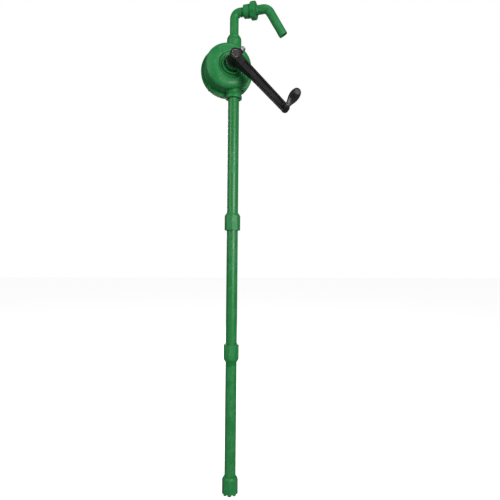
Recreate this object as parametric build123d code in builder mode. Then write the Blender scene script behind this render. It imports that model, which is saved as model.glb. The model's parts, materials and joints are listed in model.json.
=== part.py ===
"""Hand-cranked rotary drum pump with a three-piece suction tube and a swivelling spout.

Frame: the origin is the centre of the inlet collar's lower face, on the suction tube's axis. +Z is up
along that axis, -Y is the crank side and +X is the side the spout leans to. All sizes are millimetres.
"""
import os
from math import cos, radians, sin, sqrt, tan

from build123d import *

# ---- Driving dimensions ----

# Pump chamber: the rotor turns on the shaft axis, which is off the chamber's axis towards the pipes.
SHAFT_X = -6.5
SHAFT_Z = 72.0
ECCENTRICITY = 9.0
CHAMBER_X = SHAFT_X - ECCENTRICITY
CHAMBER_R = 48.0
ROTOR_R = 38.6
SHAFT_R = 7.5
RUNNING_GAP = 0.05

# Stations along Y, from the back of the pump to the crank's front face.
SHAFT_BACK = 32.5
COVER_BACK = 28.0
COVER_FRONT = 21.0
FLANGE_BACK = 20.0
FLANGE_FRONT = 13.0
CHAMBER_FRONT = -20.0
FACE_Y = -29.5
RECESS_Y = -27.5
GLAND_FRONT = -43.0
HUB_BACK = -52.0
ARM_BACK = -64.0
ARM_FRONT = -80.5
HUB_FRONT = -83.5

# Housing
SHELL_R = 55.0
FLANGE_R = 63.5
COVER_R = 62.7
NECK_R = 17.7
COLLAR_R = 20.0
COLLAR_HEIGHT = 7.0
NECK_TOP = 144.8
PORT_R = 9.5
SCREW_CIRCLE_R = 58.5
SCREW_R = 2.4
BUSH_R = 10.0
GLAND_R = 16.5
STUFFING_R = 10.6

# Suction tube: three equal 3/4 inch tubes, butted on rubber rings inside octagonal sockets.
TUBE_R = 13.35
TUBE_BORE_R = 10.4
TUBE_LENGTH = 312.0
TUBE_TOP = 14.25
SEAL_THICKNESS = 1.5
SOCKET_LENGTH = 41.0
SOCKET_CORNER_R = 18.9
FOOT_TOP = -903.0
FOOT_BOTTOM = -944.0
THREAD_PITCH = 1.81

# Outlet: riser, elbow, union and spout, all of 1/2 inch pipe.
PIPE_R = 10.65
PIPE_BORE_R = 8.2
ELBOW_Z = 211.8
ELBOW_BEND_R = 14.0
OUTLET_TURN = 24.0
UNION_START = 24.5
NUT_START = 42.4
NUT_END = 54.8
UNION_FACE = 50.0
SPOUT_CORNER = 83.6
SPOUT_DROP_ANGLE = 60.8
SPOUT_LEAN = 17.3
SPOUT_LEG = 71.5
SPOUT_BEND_R = 20.0

# Crank: its angle is measured from +X towards +Z, seen from the front.
CRANK_ANGLE = -43.8
CRANK_R = 163.0
HUB_R = 13.0
GRIP_LENGTH = 90.0
GRIP_PIN_R = 3.0

# Vanes: two blades in one slot across the rotor, upright in the stored pose.
VANE_THICKNESS = 6.0
VANE_INNER_R = 19.0
SLOT_DEPTH_R = 17.0
SPRING_SEAT_R = 11.0
SPRING_SPACING = 9.5

# ---- Directions and planes used by several pieces ----

CHAMBER_AXIS = Axis((CHAMBER_X, 0, SHAFT_Z), (0, -1, 0))
SHAFT_AXIS = Axis((SHAFT_X, 0, SHAFT_Z), (0, -1, 0))
arm_direction = Vector(cos(radians(CRANK_ANGLE)), 0, sin(radians(CRANK_ANGLE)))
across_arm = Vector(-sin(radians(CRANK_ANGLE)), 0, cos(radians(CRANK_ANGLE)))
outlet_direction = Vector(cos(radians(OUTLET_TURN)), -sin(radians(OUTLET_TURN)), 0)
elbow_corner = Vector(0, 0, ELBOW_Z)
spout_corner = elbow_corner + outlet_direction * SPOUT_CORNER
# The spout's leg drops from the outlet's line and is clamped a little way round, so that it leans back
outlet_side = Vector(sin(radians(OUTLET_TURN)), cos(radians(OUTLET_TURN)), 0)
leg_drop = outlet_side * sin(radians(SPOUT_LEAN)) - Vector(0, 0, 1) * cos(radians(SPOUT_LEAN))
spout_direction = (outlet_direction * cos(radians(SPOUT_DROP_ANGLE))
                   + leg_drop * sin(radians(SPOUT_DROP_ANGLE)))
spout_end = spout_corner + spout_direction * SPOUT_LEG
crank_pivot = Vector(SHAFT_X, 0, SHAFT_Z) + arm_direction * CRANK_R


def facing_front(y, x=SHAFT_X, z=SHAFT_Z, x_dir=(1, 0, 0)):
    """Sketch plane at depth y whose normal points to the front (-Y)."""
    return Plane(origin=(x, y, z), x_dir=x_dir, z_dir=(0, -1, 0))


def turning_section(x=SHAFT_X, z=SHAFT_Z, angle=0):
    """Half-section plane through a Y axis: local X is the radius, local Y is the row's Y."""
    c, s = cos(radians(angle)), sin(radians(angle))
    return Plane(origin=(x, 0, z), x_dir=(c, 0, s), z_dir=(-s, 0, c))


def outlet_section():
    """Half-section plane of the union: local X runs along the outlet, local Y is the radius."""
    return Plane(origin=elbow_corner, x_dir=outlet_direction,
                 z_dir=outlet_direction.cross(Vector(0, 0, 1)))


OUTLET_AXIS = Axis(elbow_corner, outlet_direction)


def finish(builder, label):
    """Name a finished piece and write its file."""
    builder.part.label = label
    export_step(builder.part, f"parts/{label}.step")


os.makedirs("parts", exist_ok=True)

# ---- Pump body: front shell, flange, both necks and the stuffing box, moulded in one ----

RECESS_R = 20.8
RING_OUTER_R = 25.4
BOSS_R = 4.2
BOSS_HEIGHT = 3.2
BOSS_POCKET_R = 5.6
BOSS_POCKET_DEPTH = 9.0
PAD_EDGE = 59.0
BULGE_CREST_Y = -33.2
SHOULDER_START_Y = -19.5
SHOULDER_INNER_R = 40.0
SHELL_FRONT = FACE_Y - 1
COLLAR_TAPER = 4.0
SOCKET_DEPTH = TUBE_TOP + 2.0
OUTLET_SOCKET_R = 12.6
OUTLET_SOCKET_Z = 126.0
STUFFING_FRONT = -37.0

with BuildPart() as pump_body:
    # Flanged shell with an elliptical shoulder
    with BuildSketch(turning_section(CHAMBER_X)):
        with BuildLine():
            Polyline((SHOULDER_INNER_R, SHELL_FRONT), (0, SHELL_FRONT), (0, FLANGE_BACK),
                     (FLANGE_R, FLANGE_BACK), (FLANGE_R, FLANGE_FRONT), (SHELL_R, FLANGE_FRONT),
                     (SHELL_R, SHOULDER_START_Y))
            EllipticalCenterArc((SHOULDER_INNER_R, SHOULDER_START_Y), SHELL_R - SHOULDER_INNER_R,
                                SHOULDER_START_Y - SHELL_FRONT, start_angle=270, arc_size=90)
        make_face()
    revolve(axis=CHAMBER_AXIS)
    # Rounded crescents on both sides; the ports' flat pads lie between them
    for start in (180 - PAD_EDGE, -PAD_EDGE):
        with BuildSketch(turning_section(CHAMBER_X, angle=start)):
            with BuildLine():
                ThreePointArc((18, FACE_Y), (37, BULGE_CREST_Y), (54, -23))
                Polyline((54, -23), (50, -18), (18, -24), (18, FACE_Y))
            make_face()
        revolve(axis=CHAMBER_AXIS, revolution_arc=2 * PAD_EDGE)
    # Inlet neck with its flared collar, and outlet neck
    with BuildSketch(Plane.XZ):
        with BuildLine():
            Polyline((0, 0), (COLLAR_R, 0), (COLLAR_R, COLLAR_HEIGHT),
                     (NECK_R, COLLAR_HEIGHT + COLLAR_TAPER), (NECK_R, NECK_TOP), (0, NECK_TOP), (0, 0))
        make_face()
    revolve(axis=Axis.Z)
    # Pockets in the shell's side, with the blind screw bosses standing in them on the flange
    with BuildSketch(facing_front(FLANGE_FRONT, CHAMBER_X)):
        with PolarLocations(SCREW_CIRCLE_R, 4, start_angle=45):
            Circle(BOSS_POCKET_R)
    extrude(amount=BOSS_POCKET_DEPTH, mode=Mode.SUBTRACT)
    with BuildSketch(facing_front(FLANGE_FRONT + 1, CHAMBER_X)):
        with PolarLocations(SCREW_CIRCLE_R, 4, start_angle=45):
            Circle(BOSS_R)
    extrude(amount=BOSS_HEIGHT + 1)
    # Flat seat, groove and raised ring round the shaft
    with BuildSketch(facing_front(RECESS_Y - 0.5)):
        Circle(RING_OUTER_R)
    extrude(amount=20, mode=Mode.SUBTRACT)
    with BuildSketch(turning_section()):
        with Locations((RING_OUTER_R + 3, -31.5)):
            Ellipse(4.4, 4.5)
    revolve(axis=SHAFT_AXIS, mode=Mode.SUBTRACT)
    with BuildSketch(turning_section()):
        with BuildLine():
            ThreePointArc((RECESS_R - 0.5, -33.0), (23.1, -35.2), (RING_OUTER_R, -33.2))
            Polyline((RING_OUTER_R, -33.2), (RING_OUTER_R, -24), (RECESS_R - 0.5, -24),
                     (RECESS_R - 0.5, -33.0))
        make_face()
    revolve(axis=SHAFT_AXIS)
    # Recess inside the ring, and the stuffing box that stands in it
    with BuildSketch(facing_front(RECESS_Y)):
        Circle(RECESS_R)
    extrude(amount=20, mode=Mode.SUBTRACT)
    with BuildSketch(facing_front(RECESS_Y + 1)):
        Circle(GLAND_R - 3.0)
    extrude(amount=RECESS_Y + 1 - STUFFING_FRONT)
    # Chamber, shaft and bush bores
    with BuildSketch(facing_front(FLANGE_BACK, CHAMBER_X)):
        Circle(CHAMBER_R)
    extrude(amount=FLANGE_BACK - CHAMBER_FRONT, mode=Mode.SUBTRACT)
    with BuildSketch(facing_front(CHAMBER_FRONT)):
        Circle(BUSH_R)
    extrude(amount=CHAMBER_FRONT - RECESS_Y, mode=Mode.SUBTRACT)
    with BuildSketch(facing_front(RECESS_Y)):
        Circle(STUFFING_R)
    extrude(amount=RECESS_Y - STUFFING_FRONT, mode=Mode.SUBTRACT)
    # Ports and pipe sockets on the tube axis
    with BuildSketch(Plane.XY):
        Circle(PORT_R)
    extrude(amount=SHAFT_Z - 20, mode=Mode.SUBTRACT)
    with BuildSketch(Plane.XY.offset(SHAFT_Z + 20)):
        Circle(PORT_R)
    extrude(amount=NECK_TOP - SHAFT_Z - 20, mode=Mode.SUBTRACT)
    with BuildSketch(Plane.XY):
        Circle(TUBE_R)
    extrude(amount=SOCKET_DEPTH, mode=Mode.SUBTRACT)
    with BuildSketch(Plane.XY.offset(OUTLET_SOCKET_Z)):
        Circle(OUTLET_SOCKET_R)
    extrude(amount=NECK_TOP - OUTLET_SOCKET_Z, mode=Mode.SUBTRACT)
    # Blind screw holes from the back
    with BuildSketch(facing_front(FLANGE_BACK, CHAMBER_X)):
        with PolarLocations(SCREW_CIRCLE_R, 4, start_angle=45):
            Circle(SCREW_R)
    extrude(amount=8.5, mode=Mode.SUBTRACT)
finish(pump_body, "pump_body")

# ---- Rear cover: plate with a ribbed boss that holds the rear bush ----

COVER_BOSS_R = 16.0
COVER_BOSS_BACK = 37.0
RIB_COUNT = 8

with BuildPart() as rear_cover:
    with BuildSketch(facing_front(COVER_BACK, CHAMBER_X)):
        Circle(COVER_R)
    extrude(amount=COVER_BACK - COVER_FRONT)
    chamfer(rear_cover.edges().group_by(Axis.Y)[-1], 1.2)
    with BuildSketch(facing_front(COVER_BOSS_BACK)):
        Circle(COVER_BOSS_R)
    extrude(amount=COVER_BOSS_BACK - COVER_FRONT)
    fillet(rear_cover.edges().group_by(Axis.Y)[-1], 3)
    # Tapering ribs from the boss towards the rim
    with BuildSketch(facing_front(COVER_BACK + 3.5)):
        with PolarLocations(26, RIB_COUNT):
            Rectangle(26, 3)
    extrude(amount=4.5)
    with BuildSketch(facing_front(COVER_FRONT)):
        Circle(BUSH_R)
    extrude(amount=COVER_FRONT - (SHAFT_BACK + 0.8), mode=Mode.SUBTRACT)
    with BuildSketch(facing_front(COVER_BACK, CHAMBER_X)):
        with PolarLocations(SCREW_CIRCLE_R, 4, start_angle=45):
            Circle(SCREW_R)
    extrude(amount=COVER_BACK - COVER_FRONT, mode=Mode.SUBTRACT)
finish(rear_cover, "rear_cover")

# ---- Flat gasket between body and cover ----

with BuildPart() as cover_gasket:
    with BuildSketch(facing_front(COVER_FRONT, CHAMBER_X)):
        Circle(COVER_R)
        Circle(CHAMBER_R, mode=Mode.SUBTRACT)
        with PolarLocations(SCREW_CIRCLE_R, 4, start_angle=45):
            Circle(SCREW_R, mode=Mode.SUBTRACT)
    extrude(amount=COVER_FRONT - FLANGE_BACK)
finish(cover_gasket, "cover_gasket")

# ---- Four pan-head screws through the cover into the body's blind bosses ----

SCREW_HEAD_R = 4.0
SCREW_HEAD_HEIGHT = 3.0
SCREW_TIP_Y = 12.0

with BuildPart() as cover_screws:
    with BuildSketch(facing_front(COVER_BACK + SCREW_HEAD_HEIGHT, CHAMBER_X)):
        with PolarLocations(SCREW_CIRCLE_R, 4, start_angle=45):
            Circle(SCREW_HEAD_R)
    extrude(amount=SCREW_HEAD_HEIGHT)
    fillet(cover_screws.edges().group_by(Axis.Y)[-1], 1.2)
    with BuildSketch(facing_front(COVER_BACK, CHAMBER_X)):
        with PolarLocations(SCREW_CIRCLE_R, 4, start_angle=45):
            Circle(SCREW_R)
    extrude(amount=COVER_BACK - SCREW_TIP_Y)
    # Cross recess in each head
    with BuildSketch(facing_front(COVER_BACK + SCREW_HEAD_HEIGHT, CHAMBER_X)):
        with PolarLocations(SCREW_CIRCLE_R, 4, start_angle=45):
            Rectangle(4.2, 0.9)
            Rectangle(0.9, 4.2)
    extrude(amount=1.6, mode=Mode.SUBTRACT)
finish(cover_screws, "cover_screws")

# ---- Bushes that carry the shaft ----

for label, back, front in (("front_bush", CHAMBER_FRONT, RECESS_Y), ("rear_bush", SHAFT_BACK, COVER_FRONT)):
    with BuildPart() as bush:
        with BuildSketch(facing_front(back)):
            Circle(BUSH_R)
            Circle(SHAFT_R + RUNNING_GAP, mode=Mode.SUBTRACT)
        extrude(amount=back - front)
    finish(bush, label)

# ---- Shaft packing and the cap nut that squeezes it ----

PACKING_FRONT = -33.0
GLAND_SHOULDER = -38.2

with BuildPart() as shaft_packing:
    with BuildSketch(facing_front(RECESS_Y)):
        Circle(STUFFING_R)
        Circle(SHAFT_R + RUNNING_GAP, mode=Mode.SUBTRACT)
    extrude(amount=RECESS_Y - PACKING_FRONT)
finish(shaft_packing, "shaft_packing")

with BuildPart() as gland_nut:
    with BuildSketch(turning_section()):
        with BuildLine():
            Polyline((GLAND_R - 3, -29), (GLAND_R, -29), (GLAND_R, GLAND_FRONT + 2),
                     (GLAND_R - 2, GLAND_FRONT), (SHAFT_R + 0.4, GLAND_FRONT),
                     (SHAFT_R + 0.4, PACKING_FRONT), (STUFFING_R, PACKING_FRONT),
                     (STUFFING_R, GLAND_SHOULDER), (GLAND_R - 3, GLAND_SHOULDER), (GLAND_R - 3, -29))
        make_face()
    revolve(axis=SHAFT_AXIS)
    # Spanner notches in the rim
    with BuildSketch(facing_front(GLAND_FRONT)):
        with PolarLocations(GLAND_R, 6, start_angle=30):
            Rectangle(2.4, 5)
    extrude(amount=-9, mode=Mode.SUBTRACT)
finish(gland_nut, "gland_nut")

# ---- Dust ring: rubber disc stretched over the shaft between the gland nut and the crank's hub ----

DUST_RING_R = 16.0
DUST_RING_BACK = -46.0
DUST_RING_FRONT = -50.0
DUST_COLLAR_R = 11.0
DUST_COLLAR_BACK = GLAND_FRONT - 0.3
DUST_RING_ROUND = 0.8

with BuildPart() as dust_ring:
    with BuildSketch(facing_front(DUST_RING_BACK)):
        Circle(DUST_RING_R)
    extrude(amount=DUST_RING_BACK - DUST_RING_FRONT)
    fillet(dust_ring.edges().filter_by(GeomType.CIRCLE), DUST_RING_ROUND)
    with BuildSketch(facing_front(DUST_COLLAR_BACK)):
        Circle(DUST_COLLAR_R)
    extrude(amount=DUST_COLLAR_BACK - DUST_RING_BACK)
    with BuildSketch(facing_front(DUST_COLLAR_BACK)):
        Circle(SHAFT_R)
    extrude(amount=DUST_COLLAR_BACK - DUST_RING_FRONT, mode=Mode.SUBTRACT)
finish(dust_ring, "dust_ring")

# ---- Rotor: solid disc with one slot each side for the vanes ----

ROTOR_END_GAP = 0.3
ROTOR_BACK = FLANGE_BACK - ROTOR_END_GAP
ROTOR_FRONT = CHAMBER_FRONT + ROTOR_END_GAP
PIN_R = 2.5
PIN_REACH = 15.0
SLOT_GAP = 0.05
SPRING_HOLE_R = 2.6

with BuildPart() as rotor:
    with BuildSketch(facing_front(ROTOR_BACK)):
        Circle(ROTOR_R)
        Circle(SHAFT_R, mode=Mode.SUBTRACT)
        with Locations((0, (ROTOR_R + SLOT_DEPTH_R) / 2 + 1), (0, -(ROTOR_R + SLOT_DEPTH_R) / 2 - 1)):
            Rectangle(VANE_THICKNESS + 2 * SLOT_GAP, ROTOR_R - SLOT_DEPTH_R + 2, mode=Mode.SUBTRACT)
    extrude(amount=ROTOR_BACK - ROTOR_FRONT)
    # Spring holes below the slots
    for side in (1, -1):
        with BuildSketch(Plane.XY.offset(SHAFT_Z + side * SPRING_SEAT_R)):
            with Locations((SHAFT_X, SPRING_SPACING), (SHAFT_X, -SPRING_SPACING)):
                Circle(SPRING_HOLE_R)
        extrude(amount=side * 12, mode=Mode.SUBTRACT)
    # Cross hole for the drive pin, open on one side so that the pin can be driven in
    with BuildSketch(Plane.YZ.offset(SHAFT_X - PIN_REACH)):
        with Locations((0, SHAFT_Z)):
            Circle(PIN_R)
    extrude(amount=PIN_REACH + ROTOR_R, mode=Mode.SUBTRACT)
finish(rotor, "rotor")

with BuildPart() as rotor_pin:
    with BuildSketch(Plane.YZ.offset(SHAFT_X - PIN_REACH)):
        with Locations((0, SHAFT_Z)):
            Circle(PIN_R)
    extrude(amount=2 * PIN_REACH)
finish(rotor_pin, "rotor_pin")

# ---- Vanes and their springs ----

VANE_TIP_BOW = 0.6
SPRING_POCKET = 5.0
SPRING_POCKET_R = 2.4
COIL_R = 1.8
COIL_TURNS = 5
WIRE_R = 0.35

for label, side in (("upper", 1), ("lower", -1)):
    vane_tip = SHAFT_Z + side * (ROTOR_R - 0.1)
    vane_edge = vane_tip - side * VANE_TIP_BOW
    vane_root = SHAFT_Z + side * VANE_INNER_R
    with BuildPart() as vane:
        with BuildSketch(facing_front(ROTOR_BACK - 0.1, 0, 0)):
            with BuildLine():
                Polyline((SHAFT_X - VANE_THICKNESS / 2, vane_edge),
                         (SHAFT_X - VANE_THICKNESS / 2, vane_root),
                         (SHAFT_X + VANE_THICKNESS / 2, vane_root),
                         (SHAFT_X + VANE_THICKNESS / 2, vane_edge))
                ThreePointArc((SHAFT_X + VANE_THICKNESS / 2, vane_edge), (SHAFT_X, vane_tip),
                              (SHAFT_X - VANE_THICKNESS / 2, vane_edge))
            make_face()
        extrude(amount=ROTOR_BACK - ROTOR_FRONT - 0.2)
        # Blind pockets for the springs, within the blade's thickness
        with BuildSketch(Plane.XY.offset(vane_root)):
            with Locations((SHAFT_X, SPRING_SPACING), (SHAFT_X, -SPRING_SPACING)):
                Circle(SPRING_POCKET_R)
        extrude(amount=side * SPRING_POCKET, mode=Mode.SUBTRACT)
    finish(vane, f"vane_{label}")

    coil_length = VANE_INNER_R + SPRING_POCKET - SPRING_SEAT_R - 2 * WIRE_R - 0.1
    with BuildPart() as vane_springs:
        for y in (SPRING_SPACING, -SPRING_SPACING):
            coil_base = (SHAFT_X, y, SHAFT_Z + side * (SPRING_SEAT_R + WIRE_R + 0.05))
            with BuildLine():
                coil = Helix(pitch=coil_length / COIL_TURNS, height=coil_length, radius=COIL_R,
                             center=coil_base, direction=(0, 0, side))
            with BuildSketch(Plane(origin=coil @ 0, z_dir=coil % 0)):
                Circle(WIRE_R)
            sweep(path=coil)
    finish(vane_springs, f"vane_springs_{label}")

# ---- Drive shaft: ground bar with a flat for the crank's set screw ----

SHAFT_FLAT_R = 6.7

with BuildPart() as drive_shaft:
    with BuildSketch(facing_front(SHAFT_BACK)):
        Circle(SHAFT_R)
    extrude(amount=SHAFT_BACK - HUB_FRONT)
    chamfer(drive_shaft.edges().group_by(Axis.Y)[-1], 0.8)
    chamfer(drive_shaft.edges().group_by(Axis.Y)[0], 0.8)
    with BuildSketch(facing_front(HUB_BACK - 8, x_dir=arm_direction)):
        with Locations((0, SHAFT_FLAT_R + 2)):
            Rectangle(20, 4)
    extrude(amount=16, mode=Mode.SUBTRACT)
    with BuildSketch(Plane.YZ.offset(SHAFT_X - SHAFT_R)):
        with Locations((0, SHAFT_Z)):
            Circle(PIN_R)
    extrude(amount=2 * SHAFT_R, mode=Mode.SUBTRACT)
finish(drive_shaft, "drive_shaft")

# ---- Crank arm: split into a deep hub end and a channelled bar, cast in one ----

ROOT_HALF_WIDTH = 10.0
END_HALF_WIDTH = 8.2
END_R = 8.8
GUSSET_START = 10.0
GUSSET_REACH = 62.0
END_TAPER = 1.5
ARM_EDGE_RADIUS = 1.6
CHANNEL_START = 26.0
CHANNEL_END = 147.0
CHANNEL_START_HALF_WIDTH = 5.4
CHANNEL_END_HALF_WIDTH = 4.0
CHANNEL_END_CROWN = 3.0
CHANNEL_DEPTH = 4.0
SCREW_BOSS_R = 7.0
SCREW_BOSS_TOP = 20.5
SET_SCREW_R = 3.0
SET_SCREW_Y = (HUB_BACK + HUB_FRONT) / 2
RING_R = 8.6
RING_DEPTH = 2.0

with BuildPart() as crank_arm:
    # Front outline of the bar
    with BuildSketch(facing_front(HUB_BACK, x_dir=arm_direction)):
        Polygon((0, ROOT_HALF_WIDTH), (CRANK_R, END_HALF_WIDTH), (CRANK_R, -END_HALF_WIDTH),
                (0, -ROOT_HALF_WIDTH), align=None)
        with Locations((CRANK_R, 0)):
            Circle(END_R)
    extrude(amount=HUB_BACK - ARM_FRONT)
    # Side profile: the back rises from the hub to the bar's own thickness
    with BuildSketch(Plane(origin=(SHAFT_X, 0, SHAFT_Z), x_dir=arm_direction, z_dir=across_arm)):
        Polygon((0, ARM_FRONT), (CRANK_R + END_R, ARM_FRONT), (CRANK_R + END_R, ARM_BACK - END_TAPER),
                (GUSSET_REACH, ARM_BACK), (GUSSET_START, HUB_BACK), (0, HUB_BACK), align=None)
    extrude(amount=2 * HUB_R, both=True, mode=Mode.INTERSECT)
    fillet(crank_arm.edges().group_by(Axis.Y)[0], ARM_EDGE_RADIUS)
    # Hub barrel and the boss for the set screw
    with BuildSketch(facing_front(HUB_BACK)):
        Circle(HUB_R)
    extrude(amount=HUB_BACK - HUB_FRONT)
    with BuildSketch(Plane(origin=(SHAFT_X, SET_SCREW_Y, SHAFT_Z), x_dir=arm_direction, z_dir=across_arm)):
        Circle(SCREW_BOSS_R)
    extrude(amount=SCREW_BOSS_TOP)
    # Long channel in the front face
    with BuildSketch(facing_front(ARM_FRONT, x_dir=arm_direction)):
        with BuildLine():
            ThreePointArc((CHANNEL_END, CHANNEL_END_HALF_WIDTH), (CHANNEL_END + CHANNEL_END_CROWN, 0),
                          (CHANNEL_END, -CHANNEL_END_HALF_WIDTH))
            Polyline((CHANNEL_END, -CHANNEL_END_HALF_WIDTH), (CHANNEL_START, -CHANNEL_START_HALF_WIDTH),
                     (CHANNEL_START, CHANNEL_START_HALF_WIDTH), (CHANNEL_END, CHANNEL_END_HALF_WIDTH))
        make_face()
    extrude(amount=-CHANNEL_DEPTH, mode=Mode.SUBTRACT)
    # Shaft bore, ring seat, set screw hole and grip pin hole
    with BuildSketch(facing_front(HUB_BACK)):
        Circle(SHAFT_R)
    extrude(amount=HUB_BACK - HUB_FRONT, mode=Mode.SUBTRACT)
    with BuildSketch(facing_front(HUB_FRONT)):
        Circle(RING_R)
    extrude(amount=-RING_DEPTH, mode=Mode.SUBTRACT)
    with BuildSketch(Plane(origin=(SHAFT_X, SET_SCREW_Y, SHAFT_Z), x_dir=arm_direction, z_dir=across_arm)):
        Circle(SET_SCREW_R)
    extrude(amount=SCREW_BOSS_TOP, mode=Mode.SUBTRACT)
    with BuildSketch(facing_front(0, crank_pivot.X, crank_pivot.Z)):
        Circle(GRIP_PIN_R)
    extrude(amount=-HUB_FRONT, mode=Mode.SUBTRACT)
finish(crank_arm, "crank_arm")

with BuildPart() as retaining_ring:
    with BuildSketch(facing_front(HUB_FRONT + RING_DEPTH)):
        Circle(RING_R)
        Circle(SHAFT_R, mode=Mode.SUBTRACT)
    extrude(amount=RING_DEPTH)
    fillet(retaining_ring.edges().group_by(Axis.Y)[0], 0.5)
finish(retaining_ring, "retaining_ring")

with BuildPart() as hub_washer:
    with BuildSketch(facing_front(HUB_BACK + 1.6)):
        Circle(HUB_R - 0.5)
        Circle(SHAFT_R, mode=Mode.SUBTRACT)
    extrude(amount=1.6)
finish(hub_washer, "hub_washer")

# ---- Set screw and its lock nut, square to the arm ----

NUT_FLAT_R = 5.0
NUT_CORNER_R = NUT_FLAT_R / cos(radians(30))
LOCK_NUT_HEIGHT = 4.2
SCREW_HEAD_START = SCREW_BOSS_TOP + LOCK_NUT_HEIGHT + 0.6
SCREW_HEAD_END = SCREW_HEAD_START + 4.6


def across_plane(distance):
    """Plane square to the set screw, at a distance from the shaft's axis."""
    origin = Vector(SHAFT_X, SET_SCREW_Y, SHAFT_Z) + across_arm * distance
    return Plane(origin=origin, x_dir=arm_direction, z_dir=across_arm)


with BuildPart() as set_screw:
    with BuildSketch(across_plane(SHAFT_FLAT_R)):
        Circle(SET_SCREW_R)
    extrude(amount=SCREW_HEAD_END - SHAFT_FLAT_R)
    with BuildSketch(across_plane(SCREW_HEAD_START)):
        RegularPolygon(NUT_CORNER_R, 6)
    extrude(amount=SCREW_HEAD_END - SCREW_HEAD_START)
finish(set_screw, "set_screw")

with BuildPart() as lock_nut:
    with BuildSketch(across_plane(SCREW_BOSS_TOP)):
        RegularPolygon(NUT_CORNER_R, 6)
        Circle(SET_SCREW_R, mode=Mode.SUBTRACT)
    extrude(amount=LOCK_NUT_HEIGHT)
finish(lock_nut, "lock_nut")

# ---- Grip, the pin it turns on, and the pin's washer and nut ----

WASHER_THICKNESS = 0.8
GRIP_BASE_Y = ARM_FRONT - WASHER_THICKNESS - 0.2
GRIP_TIP_Y = GRIP_BASE_Y - GRIP_LENGTH
GRIP_BASE_R = 6.6
GRIP_NECK_R = 5.9
GRIP_BULB_R = 11.3
GRIP_TIP_R = 6.0
GRIP_NUT_HEIGHT = 5.0
PIN_HEAD_R = 5.0
PIN_HEAD_BACK = GRIP_TIP_Y + 9.0
CAP_R = 5.6
CAP_SEAT_Y = GRIP_TIP_Y + 2.4
grip_section = turning_section(crank_pivot.X, crank_pivot.Z)
GRIP_AXIS = Axis((crank_pivot.X, 0, crank_pivot.Z), (0, -1, 0))

with BuildPart() as grip:
    with BuildSketch(grip_section):
        with BuildLine():
            Polyline((0, GRIP_TIP_Y), (0, GRIP_BASE_Y), (GRIP_BASE_R, GRIP_BASE_Y),
                     (GRIP_BASE_R, GRIP_BASE_Y - 3.5), (GRIP_NECK_R, GRIP_BASE_Y - 4.5))
            Spline((GRIP_NECK_R, GRIP_BASE_Y - 4.5), (6.2, GRIP_BASE_Y - 17), (8.8, GRIP_BASE_Y - 39),
                   (GRIP_BULB_R, GRIP_BASE_Y - 67), (9.6, GRIP_TIP_Y + 6.0), (GRIP_TIP_R, GRIP_TIP_Y),
                   tangents=((0, -1), (-1, -0.35)))
            Line((GRIP_TIP_R, GRIP_TIP_Y), (0, GRIP_TIP_Y))
        make_face()
    revolve(axis=GRIP_AXIS)
    with BuildSketch(facing_front(GRIP_BASE_Y, crank_pivot.X, crank_pivot.Z)):
        Circle(GRIP_PIN_R + RUNNING_GAP)
    extrude(amount=GRIP_LENGTH, mode=Mode.SUBTRACT)
    with BuildSketch(facing_front(PIN_HEAD_BACK + 0.2, crank_pivot.X, crank_pivot.Z)):
        Circle(PIN_HEAD_R + 0.3)
    extrude(amount=PIN_HEAD_BACK + 0.2 - CAP_SEAT_Y, mode=Mode.SUBTRACT)
    with BuildSketch(facing_front(CAP_SEAT_Y, crank_pivot.X, crank_pivot.Z)):
        Circle(CAP_R)
    extrude(amount=CAP_SEAT_Y - GRIP_TIP_Y + 1, mode=Mode.SUBTRACT)
finish(grip, "grip")

with BuildPart() as grip_cap:
    with BuildSketch(facing_front(CAP_SEAT_Y, crank_pivot.X, crank_pivot.Z)):
        Circle(CAP_R)
    extrude(amount=CAP_SEAT_Y - GRIP_TIP_Y)
    fillet(grip_cap.edges().group_by(Axis.Y)[0], 0.8)
finish(grip_cap, "grip_cap")

with BuildPart() as grip_pin:
    with BuildSketch(facing_front(ARM_BACK + GRIP_NUT_HEIGHT + 1, crank_pivot.X, crank_pivot.Z)):
        Circle(GRIP_PIN_R)
    extrude(amount=ARM_BACK + GRIP_NUT_HEIGHT + 1 - PIN_HEAD_BACK)
    with BuildSketch(facing_front(PIN_HEAD_BACK, crank_pivot.X, crank_pivot.Z)):
        Circle(PIN_HEAD_R)
    extrude(amount=4)
finish(grip_pin, "grip_pin")

with BuildPart() as grip_washer:
    with BuildSketch(facing_front(ARM_FRONT, crank_pivot.X, crank_pivot.Z)):
        Circle(GRIP_BASE_R - 0.2)
        Circle(GRIP_PIN_R, mode=Mode.SUBTRACT)
    extrude(amount=WASHER_THICKNESS)
finish(grip_washer, "grip_washer")

with BuildPart() as grip_nut:
    with BuildSketch(facing_front(ARM_BACK + GRIP_NUT_HEIGHT, crank_pivot.X, crank_pivot.Z)):
        RegularPolygon(NUT_CORNER_R, 6)
        Circle(GRIP_PIN_R, mode=Mode.SUBTRACT)
    extrude(amount=GRIP_NUT_HEIGHT)
finish(grip_nut, "grip_nut")

# ---- Riser and elbow: one moulding from the body's top socket to the union's face ----

CONE_BASE_R = 17.3
CONE_HEIGHT = 13.0
SPIGOT_BOTTOM = 128.0
SHOULDER_R = 15.9
UNION_THREAD_R = 14.2
RISER_GAP = 0.3

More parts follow.
